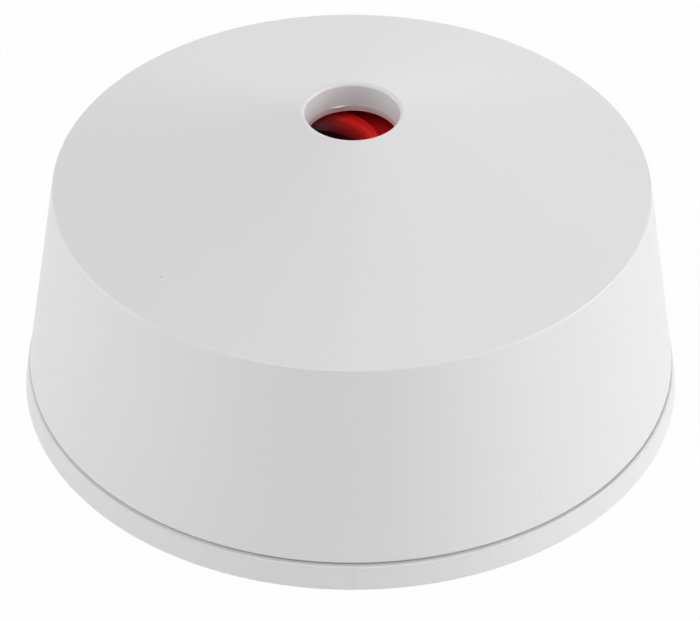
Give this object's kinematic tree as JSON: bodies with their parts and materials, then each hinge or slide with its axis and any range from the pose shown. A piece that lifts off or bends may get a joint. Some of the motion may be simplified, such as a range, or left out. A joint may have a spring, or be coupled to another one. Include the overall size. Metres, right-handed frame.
{
  "type": "alarm siren",
  "caption": "Round white wall-mounted alarm sounder: twist-off tapered cover with a conical face, central sound outlet over a red horn, and a slotted base plate.",
  "frame": {"origin": "centre of the base plate's underside, where the siren meets the wall or rests on a table", "axes": "+Z out of the face along the sound outlet; X along the two mounting slots; Y along the two round fixing holes"},
  "size_m": [0.113, 0.113, 0.0557],
  "materials": {
    "white_abs": "fine satin moulded",
    "red_abs": "polished moulded",
    "black_abs": "moulded",
    "silicone": "soft moulded",
    "disc_brass": "rolled",
    "disc_ceramic": "silvered fired ceramic",
    "contact_brass": "tinned stamping",
    "spring_bronze": "stamped",
    "zinc_steel": "zinc plated",
    "red_insulation": "extruded",
    "black_insulation": "extruded",
    "board_laminate": "solder resist",
    "switch_red": "moulded",
    "slider_white": "moulded",
    "trimmer_blue": "moulded",
    "chip_epoxy": "moulded epoxy",
    "tin_plate": "dull tin",
    "can_aluminium": "drawn",
    "sleeve_black": "shrunk film",
    "ferrite": "sintered",
    "enamelled_copper": "enamelled wire",
    "resistor_ceramic": "glazed film"
  },
  "bodies": {
    "base": {"base_plate": "white_abs", "contact_clips": "spring_bronze", "terminal_washers": "zinc_steel", "terminal_screws": "zinc_steel"},
    "head": {"cover": "white_abs", "horn": "red_abs", "horn_screws": "zinc_steel", "outlet_seal": "silicone", "piezo_plate": "disc_brass", "piezo_ceramic": "disc_ceramic", "edge_seal": "silicone", "rear_chamber": "black_abs", "chamber_screws": "zinc_steel", "lead_live": "red_insulation", "lead_return": "black_insulation", "circuit_board": "board_laminate", "board_screws": "zinc_steel", "contact_blades": "contact_brass", "dip_switch_body": "switch_red", "trimmer_body": "trimmer_blue", "driver_chip": "chip_epoxy", "driver_chip_pins": "tin_plate", "capacitor_cans": "can_aluminium", "capacitor_sleeves": "sleeve_black", "coil_core": "ferrite", "coil_winding": "enamelled_copper", "rectifier_diodes": "chip_epoxy", "chip_resistors": "resistor_ceramic", "output_transistors": "chip_epoxy"},
    "tone_slider_1": {"dip_slider_1": "slider_white"},
    "tone_slider_2": {"dip_slider_2": "slider_white"},
    "tone_slider_3": {"dip_slider_3": "slider_white"},
    "tone_slider_4": {"dip_slider_4": "slider_white"},
    "tone_slider_5": {"dip_slider_5": "slider_white"},
    "volume_rotor": {"trimmer_rotor": "slider_white"}
  },
  "joints": [
    {"name": "head_twist", "type": "hinge", "parent": "base", "child": "head", "pos_m": [0, 0, 0.005], "axis": [0, 0, 1], "range_deg": [0, 18]},
    {"name": "tone_slider_1_slide", "type": "slide", "parent": "head", "child": "tone_slider_1", "axis": [0, 1, 0], "range_m": [-0.0015, 0]},
    {"name": "tone_slider_2_slide", "type": "slide", "parent": "head", "child": "tone_slider_2", "axis": [0, 1, 0], "range_m": [0, 0.0015]},
    {"name": "tone_slider_3_slide", "type": "slide", "parent": "head", "child": "tone_slider_3", "axis": [0, 1, 0], "range_m": [-0.0015, 0]},
    {"name": "tone_slider_4_slide", "type": "slide", "parent": "head", "child": "tone_slider_4", "axis": [0, 1, 0], "range_m": [-0.0015, 0]},
    {"name": "tone_slider_5_slide", "type": "slide", "parent": "head", "child": "tone_slider_5", "axis": [0, 1, 0], "range_m": [0, 0.0015]},
    {"name": "volume_turn", "type": "hinge", "parent": "head", "child": "volume_rotor", "pos_m": [0.0155, -0.024, 0.0125], "axis": [0, 0, -1], "range_deg": [-130, 130]}
  ]
}
